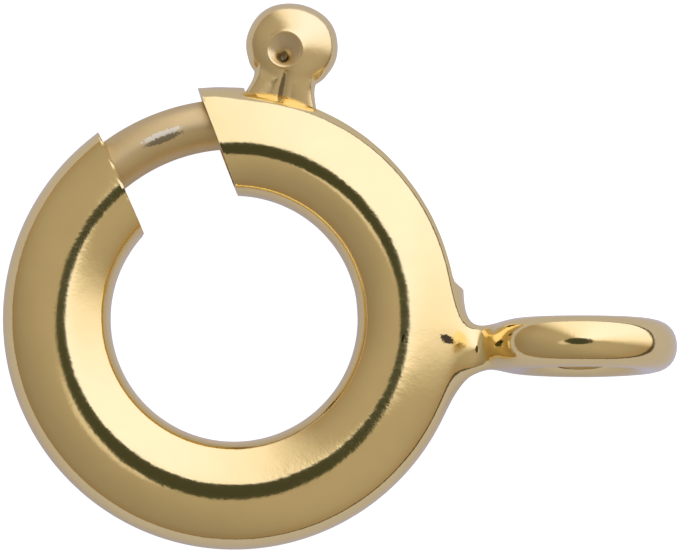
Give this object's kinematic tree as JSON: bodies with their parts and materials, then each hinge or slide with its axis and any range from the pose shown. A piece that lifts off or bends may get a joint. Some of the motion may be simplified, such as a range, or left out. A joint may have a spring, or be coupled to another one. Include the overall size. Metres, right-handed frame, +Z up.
{
  "type": "spring ring clasp",
  "caption": "Round spring ring clasp of polished yellow gold for a fine necklace or bracelet, with a sprung bolt drawn back by a thumb knob and a tail loop for the chain.",
  "frame": {"origin": "middle of the clasp's plan on the surface that it lies on, its lowest point at z = 0", "axes": "+X towards the tail loop, +Y towards the thumb knob, +Z up out of the clasp's front face"},
  "size_m": [0.0086, 0.007, 0.0024],
  "materials": {
    "gold_body": null,
    "gold_bolt": "drawn yellow gold wire, lightly burnished by sliding",
    "gold_knob": null,
    "spring_steel": "bright drawn spring wire"
  },
  "bodies": {
    "ring": {"ring_tube_and_tail_loop": "gold_body", "return_spring": "spring_steel"},
    "bolt": {"latch_bolt": "gold_bolt", "thumb_knob": "gold_knob"}
  },
  "joints": [
    {"name": "bolt_slide_round_ring", "type": "hinge", "parent": "ring", "child": "bolt", "pos_m": [-0.00136, -0.00054, 0.00079], "axis": [0.0963, 0, -0.9954], "range_deg": [0, 56], "stiffness_Nm_per_rad": 0.002, "springref_deg": -17.19, "deforming": ["return_spring"]}
  ]
}
